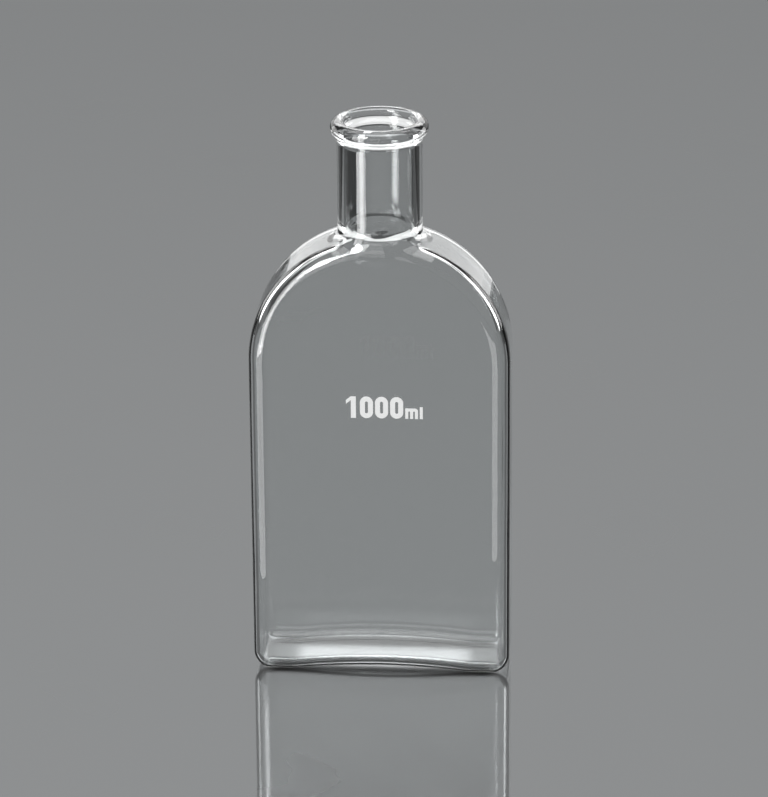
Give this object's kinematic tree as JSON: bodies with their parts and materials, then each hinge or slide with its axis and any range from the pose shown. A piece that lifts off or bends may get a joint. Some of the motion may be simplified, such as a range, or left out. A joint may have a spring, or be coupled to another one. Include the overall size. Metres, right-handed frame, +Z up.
{
  "type": "flat-sided culture flask",
  "caption": "Clear glass culture flask with flat panels, a half-round shoulder, an upright neck with a rolled rim and a printed capacity mark.",
  "frame": {"origin": "middle of the base, on the plane of the table", "axes": "+Z up the neck, +X along the width, -Y out of the front panel that carries the mark"},
  "size_m": [0.13, 0.0484, 0.289],
  "materials": {
    "clear_glass": "clear, fire-polished",
    "white_enamel": "fired, satin"
  },
  "bodies": {
    "root": {"flask_body": "clear_glass", "neck_tube": "clear_glass", "rim_bead": "clear_glass", "capacity_mark": "white_enamel"}
  },
  "joints": []
}
